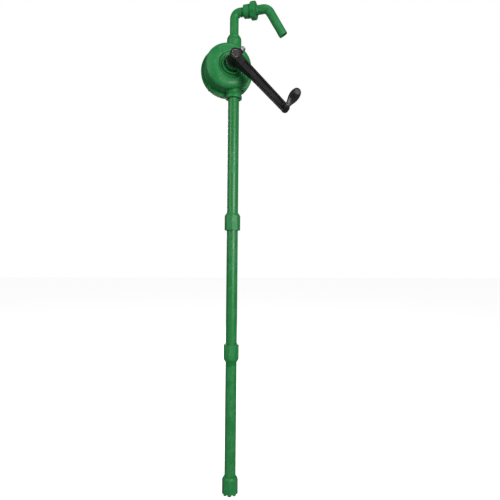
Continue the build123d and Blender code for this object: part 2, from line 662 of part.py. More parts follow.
with BuildPart() as riser_elbow:
    with BuildLine():
        riser_path = FilletPolyline((0, 0, SPIGOT_BOTTOM), elbow_corner,
                                    elbow_corner + outlet_direction * UNION_FACE, radius=ELBOW_BEND_R)
    with BuildSketch(Plane.XY.offset(SPIGOT_BOTTOM)):
        Circle(PIPE_R)
    sweep(path=riser_path)
    # Spigot and conical base
    with BuildSketch(Plane.XZ):
        with BuildLine():
            Polyline((0, SPIGOT_BOTTOM), (OUTLET_SOCKET_R - RUNNING_GAP, SPIGOT_BOTTOM),
                     (OUTLET_SOCKET_R - RUNNING_GAP, NECK_TOP + RISER_GAP),
                     (CONE_BASE_R, NECK_TOP + RISER_GAP), (CONE_BASE_R, NECK_TOP + 2.5))
            ThreePointArc((CONE_BASE_R, NECK_TOP + 2.5), (14.6, NECK_TOP + 8.2),
                          (PIPE_R, NECK_TOP + CONE_HEIGHT))
            Polyline((PIPE_R, NECK_TOP + CONE_HEIGHT), (0, NECK_TOP + CONE_HEIGHT), (0, SPIGOT_BOTTOM))
        make_face()
    revolve(axis=Axis.Z)
    # Union shoulder and thread
    with BuildSketch(outlet_section()):
        with BuildLine():
            Polyline((UNION_START, 0), (UNION_START, SHOULDER_R - 1), (UNION_START + 1, SHOULDER_R),
                     (NUT_START - 0.4, SHOULDER_R), (NUT_START - 0.4, UNION_THREAD_R),
                     (UNION_FACE, UNION_THREAD_R), (UNION_FACE, 0), (UNION_START, 0))
        make_face()
    revolve(axis=OUTLET_AXIS)
    # Bore along the same path
    with BuildSketch(Plane.XY.offset(SPIGOT_BOTTOM)):
        Circle(PIPE_BORE_R)
    sweep(path=riser_path, mode=Mode.SUBTRACT)
finish(riser_elbow, "riser_elbow")

with BuildPart() as outlet_seal:
    with BuildSketch(Plane.XY.offset(OUTLET_SOCKET_Z)):
        Circle(OUTLET_SOCKET_R)
        Circle(PIPE_BORE_R, mode=Mode.SUBTRACT)
    extrude(amount=SPIGOT_BOTTOM - OUTLET_SOCKET_Z - 0.1)
finish(outlet_seal, "outlet_seal")

# ---- Union: flat gasket, octagonal nut and the spout it clamps ----

GASKET_THICKNESS = 0.8
SPOUT_FACE = UNION_FACE + GASKET_THICKNESS + 0.1
SPOUT_FLANGE_R = 13.9
SPOUT_FLANGE_THICKNESS = 1.4
NUT_SIDES = 8
NUT_OUTER_R = 21.3
NUT_WALL = 2.4
SPOUT_COLLAR_R = 11.6

with BuildPart() as union_gasket:
    with BuildSketch(Plane(origin=elbow_corner + outlet_direction * UNION_FACE, z_dir=outlet_direction)):
        Circle(SPOUT_FLANGE_R)
        Circle(PIPE_BORE_R, mode=Mode.SUBTRACT)
    extrude(amount=GASKET_THICKNESS)
finish(union_gasket, "union_gasket")

with BuildPart() as union_nut:
    with BuildSketch(Plane(origin=elbow_corner + outlet_direction * NUT_START, x_dir=(0, 0, 1),
                           z_dir=outlet_direction)):
        RegularPolygon(NUT_OUTER_R, NUT_SIDES, rotation=180 / NUT_SIDES)
    extrude(amount=NUT_END - NUT_START)
    # Rounded corners at both ends, then the threaded bore and the hole the spout passes through
    with BuildSketch(outlet_section()):
        with BuildLine():
            Polyline((NUT_START, 0), (NUT_START, NUT_OUTER_R - 1.2), (NUT_START + 1.2, NUT_OUTER_R),
                     (NUT_END - 1.6, NUT_OUTER_R), (NUT_END, NUT_OUTER_R - 1.6), (NUT_END, 0),
                     (NUT_START, 0))
        make_face()
    revolve(axis=OUTLET_AXIS, mode=Mode.INTERSECT)
    with BuildSketch(outlet_section()):
        with BuildLine():
            Polyline((NUT_START, 0), (NUT_START, UNION_THREAD_R + 0.08),
                     (NUT_END - NUT_WALL, UNION_THREAD_R + 0.08), (NUT_END - NUT_WALL, SPOUT_COLLAR_R + 0.3),
                     (NUT_END, SPOUT_COLLAR_R + 0.3), (NUT_END, 0), (NUT_START, 0))
        make_face()
    revolve(axis=OUTLET_AXIS, mode=Mode.SUBTRACT)
finish(union_nut, "union_nut")

with BuildPart() as spout:
    with BuildLine():
        spout_path = FilletPolyline(elbow_corner + outlet_direction * SPOUT_FACE, spout_corner, spout_end,
                                    radius=SPOUT_BEND_R)
    with BuildSketch(Plane(origin=spout_path @ 0, z_dir=outlet_direction)):
        Circle(PIPE_R)
    sweep(path=spout_path)
    # Flange inside the nut, and the collar that leaves it
    with BuildSketch(outlet_section()):
        with BuildLine():
            Polyline((SPOUT_FACE, 0), (SPOUT_FACE, SPOUT_FLANGE_R),
                     (SPOUT_FACE + SPOUT_FLANGE_THICKNESS, SPOUT_FLANGE_R),
                     (SPOUT_FACE + SPOUT_FLANGE_THICKNESS, SPOUT_COLLAR_R),
                     (NUT_END + 4, SPOUT_COLLAR_R), (NUT_END + 5, PIPE_R), (NUT_END + 5, 0), (SPOUT_FACE, 0))
        make_face()
    revolve(axis=OUTLET_AXIS)
    with BuildSketch(Plane(origin=spout_path @ 0, z_dir=outlet_direction)):
        Circle(PIPE_BORE_R)
    sweep(path=spout_path, mode=Mode.SUBTRACT)
finish(spout, "spout")

# ---- Suction tube: three equal tubes threaded at both ends, with their seals and sockets ----

THREAD_DEPTH = 0.7
THREAD_REACH = 19.0
EXPOSED_THREAD_REACH = 28.0
JOINT_PITCH = TUBE_LENGTH + SEAL_THICKNESS
tube_tops = [TUBE_TOP - i * JOINT_PITCH for i in range(3)]
tube_threads = ((12.0, THREAD_REACH), (THREAD_REACH, THREAD_REACH), (EXPOSED_THREAD_REACH, THREAD_REACH))

for label, top, (top_reach, bottom_reach) in zip(("upper", "middle", "lower"), tube_tops, tube_threads):
    bottom = top - TUBE_LENGTH
    crests = [top - THREAD_PITCH * (i + 1) for i in range(int(top_reach / THREAD_PITCH))]
    crests += [bottom + THREAD_PITCH * (i + 1) for i in range(int(bottom_reach / THREAD_PITCH))]
    with BuildPart() as tube:
        with BuildSketch(Plane.XY.offset(bottom)):
            Circle(TUBE_R)
            Circle(TUBE_BORE_R, mode=Mode.SUBTRACT)
        extrude(amount=TUBE_LENGTH)
        # Annular grooves stand for the thread
        with BuildSketch(Plane.XZ):
            for z in crests:
                with BuildLine():
                    Polyline((TUBE_R + 0.1, z + 0.55), (TUBE_R - THREAD_DEPTH, z), (TUBE_R + 0.1, z - 0.55),
                             (TUBE_R + 0.1, z + 0.55))
                make_face()
        revolve(axis=Axis.Z, mode=Mode.SUBTRACT)
    finish(tube, f"suction_tube_{label}")

with BuildPart() as inlet_seal:
    with BuildSketch(Plane.XY.offset(TUBE_TOP)):
        Circle(TUBE_R)
        Circle(TUBE_BORE_R - 0.6, mode=Mode.SUBTRACT)
    extrude(amount=SOCKET_DEPTH - TUBE_TOP)
finish(inlet_seal, "inlet_seal")

with BuildPart() as coupling_seals:
    for top in tube_tops[1:]:
        with BuildSketch(Plane.XY.offset(top)):
            Circle(TUBE_R)
            Circle(TUBE_BORE_R - 0.6, mode=Mode.SUBTRACT)
        extrude(amount=SEAL_THICKNESS)
finish(coupling_seals, "coupling_seals")

LONG_CHAMFER = 7.0
SHORT_CHAMFER = 1.5
EDGE_BREAK = 0.6
CHAMFER_SLOPE = 0.6


def octagon_blank(z_low, z_high, low_chamfer, high_chamfer, corner_angle):
    """Solid octagonal prism on the tube's axis, with turned chamfers at its two ends."""
    low_r = SOCKET_CORNER_R - CHAMFER_SLOPE * low_chamfer
    high_r = SOCKET_CORNER_R - CHAMFER_SLOPE * high_chamfer
    with BuildPart() as blank:
        with BuildSketch(Plane.XY.offset(z_low)):
            RegularPolygon(SOCKET_CORNER_R, 8, rotation=corner_angle)
        extrude(amount=z_high - z_low)
        with BuildSketch(Plane.XZ):
            with BuildLine():
                Polyline((0, z_low), (low_r, z_low), (SOCKET_CORNER_R, z_low + low_chamfer),
                         (SOCKET_CORNER_R, z_high - high_chamfer), (high_r, z_high), (0, z_high), (0, z_low))
            make_face()
        revolve(axis=Axis.Z, mode=Mode.INTERSECT)
    return blank.part


# The two sockets are the same moulding; the lower one is fitted the other way up.
socket_settings = (("upper", tube_tops[1], EDGE_BREAK, LONG_CHAMFER, 260),
                   ("lower", tube_tops[2], LONG_CHAMFER, SHORT_CHAMFER, 247.5))
for label, joint_z, low_chamfer, high_chamfer, corner_angle in socket_settings:
    socket_bottom = joint_z + SEAL_THICKNESS / 2 - SOCKET_LENGTH / 2
    socket_blank = octagon_blank(socket_bottom, socket_bottom + SOCKET_LENGTH, low_chamfer, high_chamfer,
                                 corner_angle)
    with BuildPart() as coupling:
        add(socket_blank)
        with BuildSketch(Plane.XY.offset(socket_bottom)):
            Circle(TUBE_R)
        extrude(amount=SOCKET_LENGTH, mode=Mode.SUBTRACT)
    finish(coupling, f"coupling_{label}")

# ---- Foot: octagonal strainer cap with a castellated rim, and the mesh disc inside it ----

FOOT_SEAT = tube_tops[2] - TUBE_LENGTH
FOOT_BORE_R = 14.6
NOTCH_WIDTH = 5.0
NOTCH_HEIGHT = 3.0
SCREEN_THICKNESS = 1.2
SCREEN_LEDGE = 2.0

foot_blank = octagon_blank(FOOT_BOTTOM, FOOT_TOP, EDGE_BREAK, LONG_CHAMFER, 260)
with BuildPart() as foot_strainer:
    add(foot_blank)
    with BuildSketch(Plane.XY.offset(FOOT_SEAT)):
        Circle(TUBE_R)
    extrude(amount=FOOT_TOP - FOOT_SEAT, mode=Mode.SUBTRACT)
    with BuildSketch(Plane.XY.offset(FOOT_SEAT - SCREEN_LEDGE)):
        Circle(TUBE_BORE_R)
    extrude(amount=SCREEN_LEDGE, mode=Mode.SUBTRACT)
    with BuildSketch(Plane.XY.offset(FOOT_BOTTOM)):
        Circle(FOOT_BORE_R)
    extrude(amount=FOOT_SEAT - SCREEN_LEDGE - FOOT_BOTTOM, mode=Mode.SUBTRACT)
    # Notches let liquid in when the foot stands on the drum's floor
    with BuildSketch(Plane.XY.offset(FOOT_BOTTOM)):
        with PolarLocations(SOCKET_CORNER_R, 8, start_angle=260 + 22.5):
            Rectangle(2 * NOTCH_WIDTH, NOTCH_WIDTH)
    extrude(amount=NOTCH_HEIGHT, mode=Mode.SUBTRACT)
finish(foot_strainer, "foot_strainer")

with BuildPart() as strainer_screen:
    with BuildSketch(Plane.XY.offset(FOOT_SEAT - SCREEN_LEDGE - SCREEN_THICKNESS)):
        Circle(FOOT_BORE_R)
        with HexLocations(1.9, 7, 7):
            Circle(1.2, mode=Mode.SUBTRACT)
    extrude(amount=SCREEN_THICKNESS)
finish(strainer_screen, "strainer_screen")
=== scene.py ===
"""Hand-cranked rotary drum pump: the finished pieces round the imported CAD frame, in metres."""
import json
from math import atan2, cos, hypot, pi, radians, sin

import bmesh
import bpy
from mathutils import Matrix, Vector


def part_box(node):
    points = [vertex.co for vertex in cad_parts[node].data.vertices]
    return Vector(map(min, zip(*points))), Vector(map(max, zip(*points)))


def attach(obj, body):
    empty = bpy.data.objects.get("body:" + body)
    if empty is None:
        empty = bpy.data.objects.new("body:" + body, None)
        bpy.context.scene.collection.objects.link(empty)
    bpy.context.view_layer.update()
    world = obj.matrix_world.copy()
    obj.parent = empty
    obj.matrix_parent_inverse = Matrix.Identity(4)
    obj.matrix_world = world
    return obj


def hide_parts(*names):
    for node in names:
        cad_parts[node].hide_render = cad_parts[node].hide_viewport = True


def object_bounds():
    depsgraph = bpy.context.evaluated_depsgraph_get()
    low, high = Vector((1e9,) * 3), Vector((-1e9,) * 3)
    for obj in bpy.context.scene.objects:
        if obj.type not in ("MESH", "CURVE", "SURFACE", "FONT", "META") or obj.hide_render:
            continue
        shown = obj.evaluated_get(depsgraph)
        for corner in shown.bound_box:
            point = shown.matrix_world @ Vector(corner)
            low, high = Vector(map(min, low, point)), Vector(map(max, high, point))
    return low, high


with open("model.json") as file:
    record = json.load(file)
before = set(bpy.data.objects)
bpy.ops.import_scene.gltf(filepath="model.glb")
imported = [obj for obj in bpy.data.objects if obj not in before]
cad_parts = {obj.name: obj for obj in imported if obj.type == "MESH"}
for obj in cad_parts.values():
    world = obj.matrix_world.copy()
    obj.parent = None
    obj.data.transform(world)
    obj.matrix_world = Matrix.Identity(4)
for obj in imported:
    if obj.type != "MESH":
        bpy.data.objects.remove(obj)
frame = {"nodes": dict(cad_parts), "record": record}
cad_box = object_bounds()

# ---- Studio ----
# A white floor and a white backdrop in a dim room. A wide soft lamp stands in front at the pump's own
# height, a little to the right, with weaker ones on the left, above and behind. The foot clears the floor.

mm = 0.001
foot_gap = 0.5 * mm
floor_level, floor_reach = cad_box[0].z - foot_gap, 12

camera_data = bpy.data.cameras.new("camera")
camera_data.lens = 29.88
camera_data.sensor_width = 36
camera_data.clip_start = 0.01
camera = bpy.data.objects.new("camera", camera_data)
bpy.context.scene.collection.objects.link(camera)
turn, pitch, roll = radians(-9.58), radians(-1.40), radians(0.49)
backwards = Vector((sin(turn) * cos(pitch), -cos(turn) * cos(pitch), sin(pitch)))
rightwards = Vector((cos(turn), sin(turn), 0))
upwards = backwards.cross(rightwards)
view_x = rightwards * cos(roll) + upwards * sin(roll)
view_y = upwards * cos(roll) - rightwards * sin(roll)
camera_spot = (-0.12398, -0.99299, -0.39045)
camera.matrix_world = (Matrix.Translation(camera_spot)
                       @ Matrix((view_x, view_y, backwards)).transposed().to_4x4())
bpy.context.scene.camera = camera

floor_bm = bmesh.new()
bmesh.ops.create_grid(floor_bm, x_segments=1, y_segments=1, size=floor_reach)
bmesh.ops.translate(floor_bm, vec=(0, 0, floor_level), verts=floor_bm.verts)
floor_mesh = bpy.data.meshes.new("floor")
floor_bm.to_mesh(floor_mesh)
floor_bm.free()
floor = bpy.data.objects.new("floor", floor_mesh)
bpy.context.scene.collection.objects.link(floor)
floor_paint = bpy.data.materials.new("floor_paint")
floor_paint.use_nodes = True
floor_shader = floor_paint.node_tree.nodes["Principled BSDF"]
floor_shader.inputs["Roughness"].default_value = 0.9
floor_shader.inputs["Emission Color"].default_value = (1, 1, 1, 1)
floor_ray = floor_paint.node_tree.nodes.new("ShaderNodeLightPath")
for socket_name, lighting, looking in (("Base Color", 0.3, 0.9), ("Emission Strength", 0.0, 0.8)):
    floor_response = floor_paint.node_tree.nodes.new("ShaderNodeMapRange")
    floor_response.inputs["To Min"].default_value = lighting
    floor_response.inputs["To Max"].default_value = looking
    floor_paint.node_tree.links.new(floor_ray.outputs["Is Camera Ray"], floor_response.inputs["Value"])
    floor_paint.node_tree.links.new(floor_response.outputs["Result"], floor_shader.inputs[socket_name])
floor_mesh.materials.append(floor_paint)

lamp_aim = Vector((0, 0, -0.25))
for lamp_name, spot, width, height, power in (
        ("key_softbox", (0.75, -2.1, 0.02), 0.9, 0.9, 44),
        ("side_softbox", (-1.9, -0.85, 0.5), 0.8, 1.4, 16),
        ("top_softbox", (0.3, -0.9, 1.9), 0.8, 0.8, 7),
        ("rear_softbox", (0.0, 2.3, 0.3), 1.0, 1.2, 24)):
    lamp_data = bpy.data.lights.new(lamp_name, "AREA")
    lamp_data.shape = "RECTANGLE"
    lamp_data.size, lamp_data.size_y, lamp_data.energy = width, height, power
    lamp = bpy.data.objects.new(lamp_name, lamp_data)
    lamp.location = spot
    lamp.rotation_euler = (Vector(spot) - lamp_aim).to_track_quat("Z", "Y").to_euler()
    bpy.context.scene.collection.objects.link(lamp)

surroundings = bpy.data.worlds.new("white_surroundings")
surroundings.use_nodes = True
world_tree = surroundings.node_tree
world_background = world_tree.nodes["Background"]
world_background.inputs["Color"].default_value = (1, 1, 1, 1)
seen_directly = world_tree.nodes.new("ShaderNodeLightPath")
brightness = world_tree.nodes.new("ShaderNodeMapRange")
brightness.inputs["To Min"].default_value = 0.18
brightness.inputs["To Max"].default_value = 1.0
world_tree.links.new(seen_directly.outputs["Is Camera Ray"], brightness.inputs["Value"])
world_tree.links.new(brightness.outputs["Result"], world_background.inputs["Strength"])
bpy.context.scene.world = surroundings
bpy.context.scene.view_settings.view_transform = "Standard"

# ---- Pump body ----
# Front half of the housing with its flange, both pipe necks and the stuffing box: one injection moulding in
# green polypropylene, with soft edges from the mould and a fine satin skin.


def add_node(tree, kind, **inputs):
    """Add a node and fill its inputs with numbers or with other nodes' outputs."""
    made = tree.nodes.new("ShaderNode" + kind)
    for name, value in inputs.items():
        socket = made.inputs[name.replace("_", " ")]
        if isinstance(value, bpy.types.NodeSocket):
            tree.links.new(value, socket)
        else:
            socket.default_value = value
    return made


def calc(tree, operation, first, second=0.0):
    """Math node: one operation on two numbers or outputs."""
    made = tree.nodes.new("ShaderNodeMath")
    made.operation = operation
    made.use_clamp = operation != "ADD"
    for socket, value in zip(made.inputs, (first, second)):
        if isinstance(value, bpy.types.NodeSocket):
            tree.links.new(value, socket)
        else:
            socket.default_value = value
    return made.outputs[0]


def ramp(tree, value, low, high, to_low=0.0, to_high=1.0):
    """Smooth step of a value from one range to another."""
    made = tree.nodes.new("ShaderNodeMapRange")
    made.interpolation_type = "SMOOTHSTEP"
    tree.links.new(value, made.inputs["Value"])
    for name, number in (("From Min", low), ("From Max", high), ("To Min", to_low), ("To Max", to_high)):
        made.inputs[name].default_value = number
    return made.outputs["Result"]


def tint(tree, factor, first, second):
    """Mix two colours by a mask. Each colour is an output or three numbers."""
    made = tree.nodes.new("ShaderNodeMix")
    made.data_type = "RGBA"
    tree.links.new(factor, made.inputs[0])
    colour_inputs, colour_output = made.inputs[6:8], made.outputs[2]
    for socket, value in zip(colour_inputs, (first, second)):
        if isinstance(value, bpy.types.NodeSocket):
            tree.links.new(value, socket)
        else:
            socket.default_value = (*value, 1)
    return colour_output


def own_coordinates(tree, stretch=(1, 1, 1)):
    """The piece's own coordinates, squeezed along chosen axes."""
    place = tree.nodes.new("ShaderNodeTexCoord").outputs["Object"]
    return add_node(tree, "Mapping", Vector=place, Scale=stretch).outputs["Vector"]


def new_effect(name, inputs, outputs):
    """Empty node group with named number inputs and outputs."""
    group = bpy.data.node_groups.new(name, "ShaderNodeTree")
    for label, default in inputs.items():
        socket = group.interface.new_socket(label, in_out="INPUT", socket_type="NodeSocketFloat")
        socket.default_value = default
    for label in outputs:
        group.interface.new_socket(label, in_out="OUTPUT", socket_type="NodeSocketFloat")
    return group, group.nodes.new("NodeGroupInput").outputs, group.nodes.new("NodeGroupOutput").inputs


def use_effect(tree, group, **inputs):
    """Place a node group in a material with its own values."""
    made = tree.nodes.new("ShaderNodeGroup")
    made.node_tree = group
    for name, value in inputs.items():
        made.inputs[name.replace("_", " ")].default_value = value
    return made.outputs


# Skin of a moulding or casting: fine grain, slow waviness where it shrank, and clouds in its colour.
skin, given, result = new_effect(
    "mould_skin", {"Grain Scale": 1500.0, "Wave Scale": 70.0, "Wave Share": 0.7},
    ("Height", "Clouds", "Gloss"))
spot_in_piece = own_coordinates(skin)
grain = add_node(skin, "TexNoise", Vector=spot_in_piece,
                 Scale=given["Grain Scale"], Detail=3.0, Roughness=0.6)
waves = add_node(skin, "TexNoise", Vector=spot_in_piece,
                 Scale=given["Wave Scale"], Detail=1.5, Roughness=0.45)
clouds = add_node(skin, "TexNoise", Vector=spot_in_piece,
                  Scale=34.0, Detail=4.0, Roughness=0.6, Distortion=0.8)
streaks = add_node(skin, "TexNoise", Vector=own_coordinates(skin, (1, 1, 0.18)), Scale=120.0, Detail=3.0)
fine_part = calc(skin, "MULTIPLY", grain.outputs["Fac"], calc(skin, "SUBTRACT", 1.0, given["Wave Share"]))
slow_part = calc(skin, "MULTIPLY", waves.outputs["Fac"], given["Wave Share"])
skin.links.new(calc(skin, "ADD", fine_part, slow_part), result["Height"])
cloud_sum = calc(skin, "MULTIPLY", calc(skin, "ADD", clouds.outputs["Fac"], streaks.outputs["Fac"]), 0.5)
skin.links.new(ramp(skin, cloud_sum, 0.36, 0.64), result["Clouds"])
skin.links.new(ramp(skin, clouds.outputs["Fac"], 0.3, 0.7), result["Gloss"])

# Handling marks: thin broken hairlines that lie in one direction more than the other.
scuffs, given, result = new_effect(
    "handling_scuffs", {"Line Scale": 130.0, "Line Width": 0.012, "Cover": 0.5}, ("Mask",))
line_noise = add_node(scuffs, "TexNoise", Vector=own_coordinates(scuffs, (1, 1.6, 0.35)),
                      Scale=given["Line Scale"], Detail=1.0, Distortion=0.6)
off_line = calc(scuffs, "ABSOLUTE", calc(scuffs, "SUBTRACT", line_noise.outputs["Fac"], 0.62))
patches = add_node(scuffs, "TexNoise", Vector=own_coordinates(scuffs), Scale=48.0, Detail=3.0)
broken = add_node(scuffs, "TexNoise", Vector=own_coordinates(scuffs), Scale=420.0, Detail=2.0)
on_line = calc(scuffs, "SUBTRACT", 1.0, calc(scuffs, "DIVIDE", off_line, given["Line Width"]))
patch_limit = calc(scuffs, "SUBTRACT", 1.05, given["Cover"])
in_patch = calc(scuffs, "GREATER_THAN", patches.outputs["Fac"], patch_limit)
kept = calc(scuffs, "MULTIPLY", on_line, ramp(scuffs, broken.outputs["Fac"], 0.42, 0.6))
scuffs.links.new(calc(scuffs, "MULTIPLY", kept, in_patch), result["Mask"])

# Lighter outer edges and corners, in patches: wear where they get knocked, and on the black arm partly a
# painted highlight.
wear_and_highlight, given, result = new_effect("edge_wear_and_painted_highlight", {"Start": 0.52, "Full": 0.58, "Patch Scale": 160.0}, ("Mask",))
sharpness = wear_and_highlight.nodes.new("ShaderNodeNewGeometry").outputs["Pointiness"]
edge_range = wear_and_highlight.nodes.new("ShaderNodeMapRange")
edge_range.interpolation_type = "SMOOTHSTEP"
wear_and_highlight.links.new(sharpness, edge_range.inputs["Value"])
wear_and_highlight.links.new(given["Start"], edge_range.inputs["From Min"])
wear_and_highlight.links.new(given["Full"], edge_range.inputs["From Max"])
rub_patches = add_node(wear_and_highlight, "TexNoise", Vector=own_coordinates(wear_and_highlight), Scale=given["Patch Scale"], Detail=4.0)
wear_and_highlight.links.new(calc(wear_and_highlight, "MULTIPLY", edge_range.outputs["Result"],
                   ramp(wear_and_highlight, rub_patches.outputs["Fac"], 0.4, 0.62)), result["Mask"])

# Thin dust on surfaces that face up.
dust, given, result = new_effect("settled_dust", {"Amount": 0.3}, ("Mask",))
facing = add_node(dust, "SeparateXYZ", Vector=dust.nodes.new("ShaderNodeTexCoord").outputs["Normal"])
dust_noise = add_node(dust, "TexNoise", Vector=own_coordinates(dust), Scale=210.0, Detail=6.0, Roughness=0.7)
dust_lies = calc(dust, "MULTIPLY", ramp(dust, facing.outputs["Z"], 0.35, 0.95),
                 ramp(dust, dust_noise.outputs["Fac"], 0.35, 0.75))
dust.links.new(calc(dust, "MULTIPLY", dust_lies, given["Amount"]), result["Mask"])


def new_finish(name, **shader_values):
    """Material with its shader's plain values set; returns it with its tree and shader."""
    material = bpy.data.materials.new(name)
    material.use_nodes = True
    shader = material.node_tree.nodes["Principled BSDF"]
    for label, value in shader_values.items():
        shader.inputs[label.replace("_", " ")].default_value = value
    return material, material.node_tree, shader


def relief(tree, shader, height, depth):
    """Bump of a given depth in metres."""
    bump = add_node(tree, "Bump", Height=height, Distance=depth, Strength=1.0)
    tree.links.new(bump.outputs["Normal"], shader.inputs["Normal"])


green_moulding, tree, shader = new_finish("green_moulding", IOR=1.49, Specular_IOR_Level=0.3)
mould = use_effect(tree, skin, Grain_Scale=1500.0, Wave_Scale=75.0, Wave_Share=0.75)
marks = use_effect(tree, scuffs, Line_Scale=130.0, Cover=0.5)
worn_and_highlit_edges = use_effect(tree, wear_and_highlight, Start=0.53, Full=0.62)
dusty = use_effect(tree, dust, Amount=0.06)
colour = tint(tree, mould["Clouds"], (0.0125, 0.180, 0.043), (0.0155, 0.203, 0.050))
# On the green moulding these lighter edges are wear only.
colour = tint(tree, calc(tree, "MULTIPLY", worn_and_highlit_edges["Mask"], 0.2), colour, (0.06, 0.30, 0.12))
colour = tint(tree, calc(tree, "MULTIPLY", marks["Mask"], 0.25), colour, (0.08, 0.33, 0.15))
colour = tint(tree, dusty["Mask"], colour, (0.30, 0.34, 0.28))
tree.links.new(colour, shader.inputs["Base Color"])
roughness = ramp(tree, mould["Gloss"], 0.0, 1.0, 0.36, 0.46)
roughness = calc(tree, "ADD", roughness, calc(tree, "MULTIPLY", marks["Mask"], 0.2))
tree.links.new(roughness, shader.inputs["Roughness"])
relief(tree, shader, mould["Height"], 0.00025)


def even_skin(name, node, grid, passes):
    """Copy of a node's closed shell, remeshed on an even grid and relaxed so that its edges round over."""
    shell = bpy.data.meshes.new(name)
    blank_bm = bmesh.new()
    blank_bm.from_mesh(frame["nodes"][node].data)
    bmesh.ops.remove_doubles(blank_bm, verts=blank_bm.verts, dist=0.002 * mm)
    blank_bm.to_mesh(shell)
    blank_bm.free()
    blank = bpy.data.objects.new(name + "_blank", shell)
    bpy.context.scene.collection.objects.link(blank)
    even = blank.modifiers.new("even_skin", "REMESH")
    even.mode = "VOXEL"
    even.voxel_size = grid
    relaxed = blank.modifiers.new("relaxed", "SMOOTH")
    relaxed.factor = 0.5
    relaxed.iterations = passes
    bpy.context.view_layer.update()
    depsgraph = bpy.context.evaluated_depsgraph_get()
    skinned = bpy.data.meshes.new_from_object(blank.evaluated_get(depsgraph))
    bpy.data.objects.remove(blank)
    bm = bmesh.new()
    bm.from_mesh(skinned)
    bpy.data.meshes.remove(skinned)
    return bm


def show_piece(name, bm, material, body, node, crease=40):
    """Turn a finished bmesh into a smooth-shaded piece that stands for a CAD node and rides on its body."""
    mesh = bpy.data.meshes.new(name)
    bm.to_mesh(mesh)
    bm.free()
    mesh.materials.clear()
    mesh.materials.append(material)
    mesh.shade_smooth()
    mesh.set_sharp_from_angle(angle=radians(crease))
    piece = bpy.data.objects.new(name, mesh)
    bpy.context.scene.collection.objects.link(piece)
    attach(piece, body)
    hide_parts(node)


# The chamber is machined true after moulding, so its wall and its front face are brought back to size.
housing_bm = even_skin("housing", "pump_body", 1.0 * mm, 4)
chamber_axis_x, chamber_axis_z = -15.5 * mm, 72 * mm
chamber_reach, chamber_front, true_up = 48 * mm, -20 * mm, 1.4 * mm
for v in housing_bm.verts:
    off_x, off_z = v.co.x - chamber_axis_x, v.co.z - chamber_axis_z
    reach = hypot(off_x, off_z)
    if v.co.y > chamber_front - true_up and reach < chamber_reach + true_up:
        if v.co.y < chamber_front + true_up:
            v.co.y = chamber_front
        if reach > chamber_reach - true_up:
            v.co.x = chamber_axis_x + off_x * chamber_reach / reach
            v.co.z = chamber_axis_z + off_z * chamber_reach / reach
show_piece("housing_moulding", housing_bm, green_moulding, "pump_head", "pump_body")

# ---- Rear cover, its gasket and its screws ----
# The cover is moulded in the same green, ribbed round a boss for the rear bush. It clamps a flat rubber
# gasket, with four zinc-plated cross-head screws from the back.

show_piece("cover_moulding", even_skin("cover", "rear_cover", 0.9 * mm, 3), green_moulding,
           "pump_head", "rear_cover")


def refinish(node, material):
    """Give a CAD node a better material."""
    mesh = frame["nodes"][node].data
    mesh.materials.clear()
    mesh.materials.append(material)


rubber, tree, shader = new_finish("black_rubber", IOR=1.5, Specular_IOR_Level=0.3)
mould = use_effect(tree, skin, Grain_Scale=2200.0, Wave_Scale=240.0, Wave_Share=0.4)
tree.links.new(tint(tree, mould["Clouds"], (0.016, 0.016, 0.017), (0.032, 0.031, 0.030)),
               shader.inputs["Base Color"])
tree.links.new(ramp(tree, mould["Gloss"], 0.0, 1.0, 0.65, 0.85), shader.inputs["Roughness"])
relief(tree, shader, mould["Height"], 0.0001)
for node in ("cover_gasket", "inlet_seal", "outlet_seal", "coupling_seals", "union_gasket", "dust_ring"):
    refinish(node, rubber)

zinc, tree, shader = new_finish("zinc_plating", Metallic=1.0)
mould = use_effect(tree, skin, Grain_Scale=2600.0, Wave_Scale=400.0, Wave_Share=0.35)
marks = use_effect(tree, scuffs, Line_Scale=420.0, Cover=0.62)
colour = tint(tree, mould["Clouds"], (0.36, 0.38, 0.41), (0.50, 0.51, 0.50))
tree.links.new(tint(tree, marks["Mask"], colour, (0.30, 0.30, 0.31)), shader.inputs["Base Color"])
tree.links.new(ramp(tree, mould["Gloss"], 0.0, 1.0, 0.38, 0.54), shader.inputs["Roughness"])
relief(tree, shader, mould["Height"], 0.00004)
refinish("cover_screws", zinc)

# ---- Shaft bearings: bushes, packing and gland nut ----
# Two sintered bronze bushes carry the shaft. A greased packing ring seals it at the front, squeezed by a
# notched green cap nut on the stuffing box.

bronze, tree, shader = new_finish("sintered_bronze", Metallic=1.0)
pores = add_node(tree, "TexVoronoi", Vector=own_coordinates(tree), Scale=1900.0)
mould = use_effect(tree, skin, Grain_Scale=3000.0, Wave_Scale=300.0, Wave_Share=0.2)
pore_mask = ramp(tree, pores.outputs["Distance"], 0.12, 0.3)
colour = tint(tree, mould["Clouds"], (0.42, 0.25, 0.10), (0.58, 0.38, 0.17))
tree.links.new(tint(tree, pore_mask, (0.12, 0.07, 0.03), colour), shader.inputs["Base Color"])
tree.links.new(ramp(tree, mould["Gloss"], 0.0, 1.0, 0.35, 0.5), shader.inputs["Roughness"])
relief(tree, shader, pore_mask, 0.00006)
for node in ("front_bush", "rear_bush"):
    refinish(node, bronze)
refinish("shaft_packing", rubber)
show_piece("gland_cap_nut", even_skin("gland", "gland_nut", 0.5 * mm, 3), green_moulding,
           "pump_head", "gland_nut")

# ---- Rotor, its pin, vanes and springs ----
# Machined nylon disc pinned to the shaft, with a blade in a slot on each side that springs push against the
# chamber wall.

